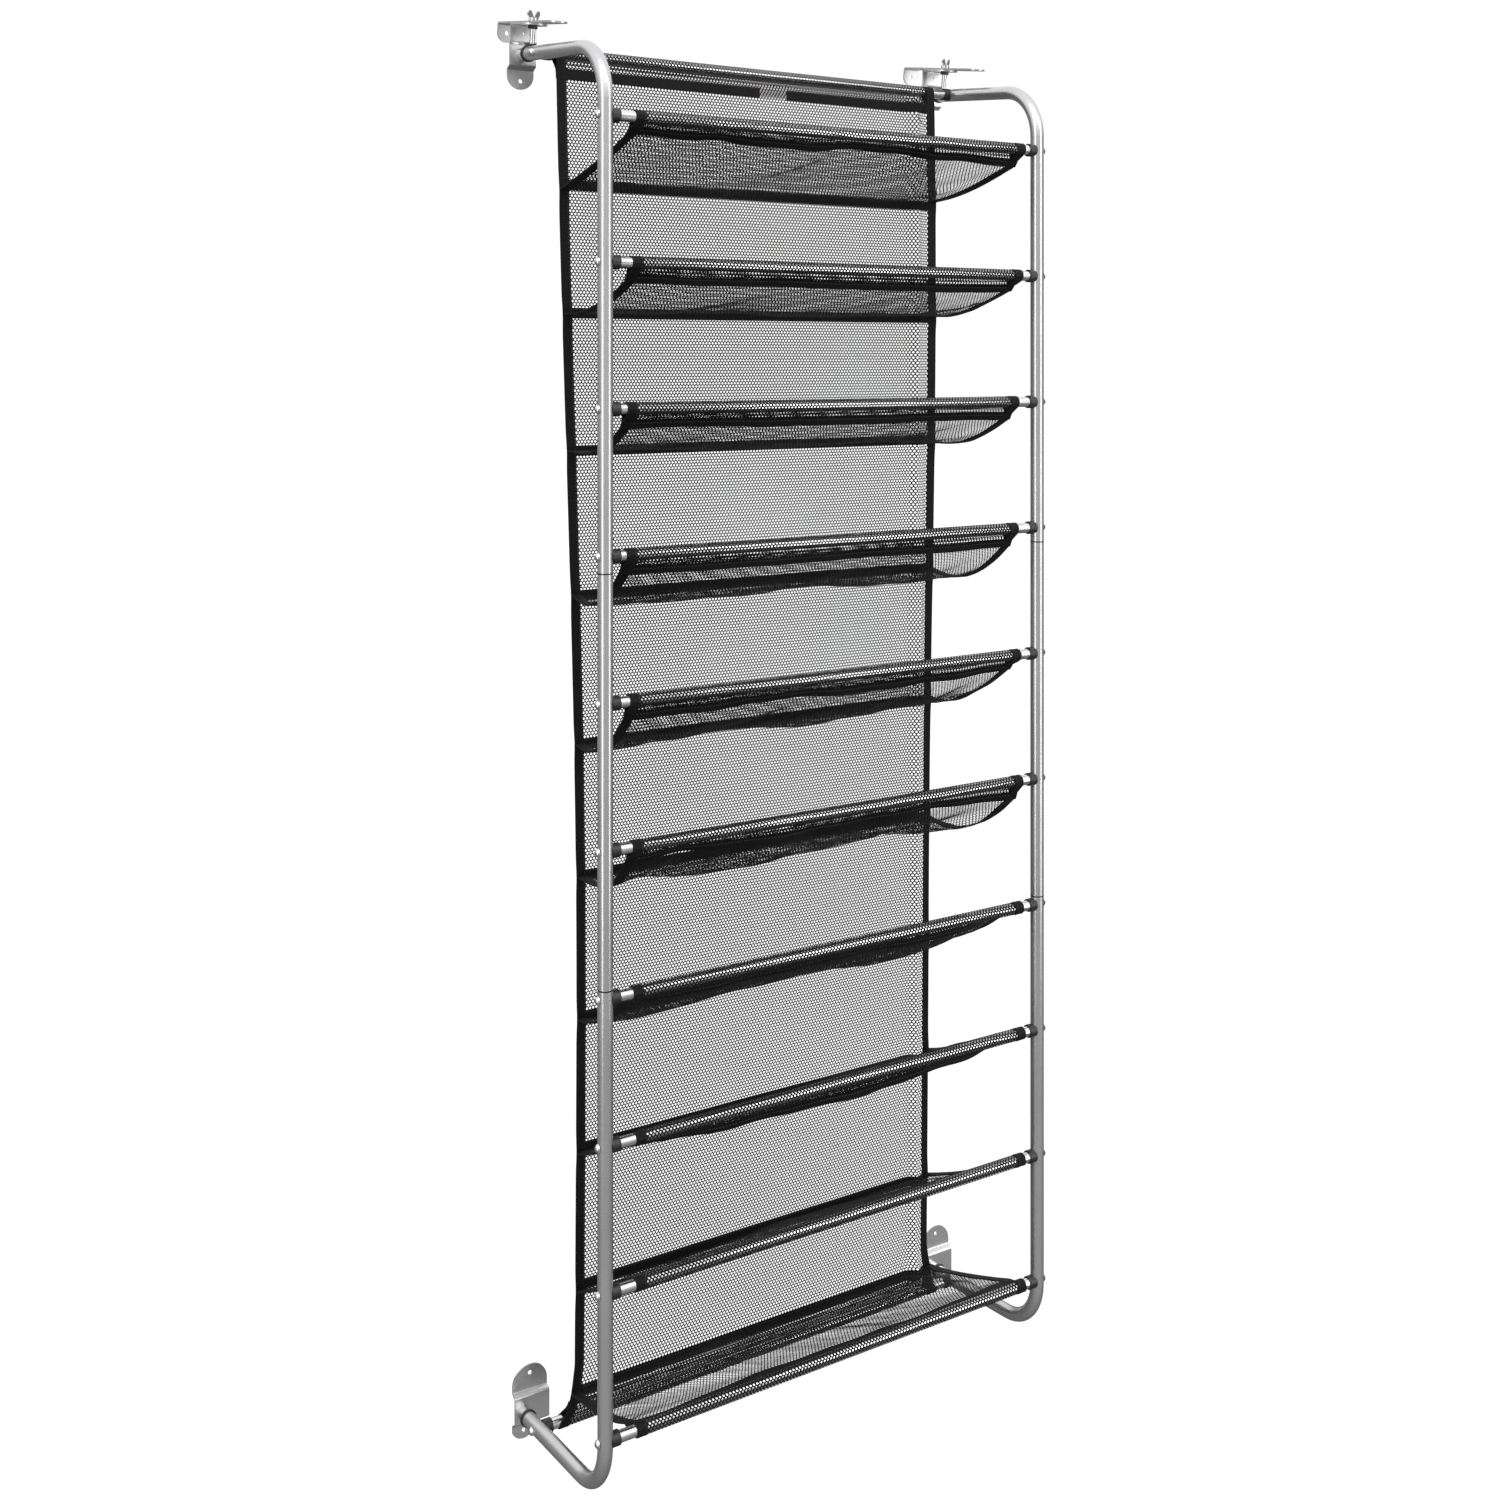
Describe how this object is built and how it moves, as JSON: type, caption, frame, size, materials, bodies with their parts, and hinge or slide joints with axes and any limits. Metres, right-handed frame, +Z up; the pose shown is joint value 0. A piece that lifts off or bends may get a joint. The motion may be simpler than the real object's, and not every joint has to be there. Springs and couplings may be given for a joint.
{
  "type": "shoe organizer",
  "caption": "Tall over-the-door shoe organizer: bent tube side frames, front rails and sagging mesh shelves sewn to a mesh back panel, hung by clamping door hooks.",
  "frame": {"origin": "on the front face of the door, midway between the two side frames, level with the top edge of the door that the hooks hang on", "axes": "+X to the right of somebody who faces the shelves, +Y into the door, +Z up; the shelves stand out along -Y and hang down along -Z"},
  "size_m": [0.6245, 0.2608, 1.5996],
  "materials": {
    "silver_tube": "satin silver powder coat",
    "rail_steel": "bright plated steel tube",
    "bright_steel": "bright zinc plate",
    "zinc_plate": "pressed zinc-plated sheet",
    "hook_steel": "pressed zinc-plated strap",
    "black_plastic": "moulded, fine texture",
    "grey_plastic": "moulded",
    "black_nut": "blackened steel",
    "black_tape": "woven polyester binding tape",
    "black_mesh": "open warp-knit polyester mesh"
  },
  "bodies": {
    "rack": {"left_frame_top": "silver_tube", "left_frame_middle": "silver_tube", "left_frame_bottom": "silver_tube", "upper_left_collar": "black_plastic", "upper_left_stub": "bright_steel", "upper_left_plate": "zinc_plate", "lower_left_collar": "black_plastic", "lower_left_stub": "bright_steel", "lower_left_plate": "zinc_plate", "left_hook_nut": "black_nut", "left_rail_spacers": "black_plastic", "left_rail_inserts": "grey_plastic", "left_rail_screws": "bright_steel", "panel_left_tape": "black_tape", "panel_top_tape_left": "black_tape", "right_frame_top": "silver_tube", "right_frame_middle": "silver_tube", "right_frame_bottom": "silver_tube", "upper_right_collar": "black_plastic", "upper_right_stub": "bright_steel", "upper_right_plate": "zinc_plate", "lower_right_collar": "black_plastic", "lower_right_stub": "bright_steel", "lower_right_plate": "zinc_plate", "right_hook_nut": "black_nut", "right_rail_spacers": "black_plastic", "right_rail_inserts": "grey_plastic", "right_rail_screws": "bright_steel", "panel_right_tape": "black_tape", "panel_top_tape_right": "black_tape", "shelf_rail_01": "rail_steel", "shelf_mesh_01": "black_mesh", "shelf_rail_02": "rail_steel", "shelf_mesh_02": "black_mesh", "shelf_rail_03": "rail_steel", "shelf_mesh_03": "black_mesh", "shelf_rail_04": "rail_steel", "shelf_mesh_04": "black_mesh", "shelf_rail_05": "rail_steel", "shelf_mesh_05": "black_mesh", "shelf_rail_06": "rail_steel", "shelf_mesh_06": "black_mesh", "shelf_rail_07": "rail_steel", "shelf_mesh_07": "black_mesh", "shelf_rail_08": "rail_steel", "shelf_mesh_08": "black_mesh", "shelf_rail_09": "rail_steel", "shelf_mesh_09": "black_mesh", "shelf_rail_10": "rail_steel", "shelf_mesh_10": "black_mesh", "back_rail_top": "rail_steel", "back_rail_bottom": "rail_steel", "back_panel_mesh": "black_mesh"},
    "left_hook": {"left_door_hook": "hook_steel"},
    "left_bolt": {"left_wing_bolt": "bright_steel"},
    "right_hook": {"right_door_hook": "hook_steel"},
    "right_bolt": {"right_wing_bolt": "bright_steel"}
  },
  "joints": [
    {"name": "left_hook_slide", "type": "slide", "parent": "rack", "child": "left_hook", "axis": [0, 0.9877, 0.1564], "range_m": [-0.015, 0.015]},
    {"name": "left_bolt_turn", "type": "hinge", "parent": "rack", "child": "left_bolt", "pos_m": [-0.288, -0.03584, -0.00568], "axis": [0, -0.1564, 0.9877], "continuous": true},
    {"name": "right_hook_slide", "type": "slide", "parent": "rack", "child": "right_hook", "axis": [0, 0.9877, 0.1564], "range_m": [-0.015, 0.015]},
    {"name": "right_bolt_turn", "type": "hinge", "parent": "rack", "child": "right_bolt", "pos_m": [0.288, -0.03584, -0.00568], "axis": [0, -0.1564, 0.9877], "continuous": true}
  ]
}
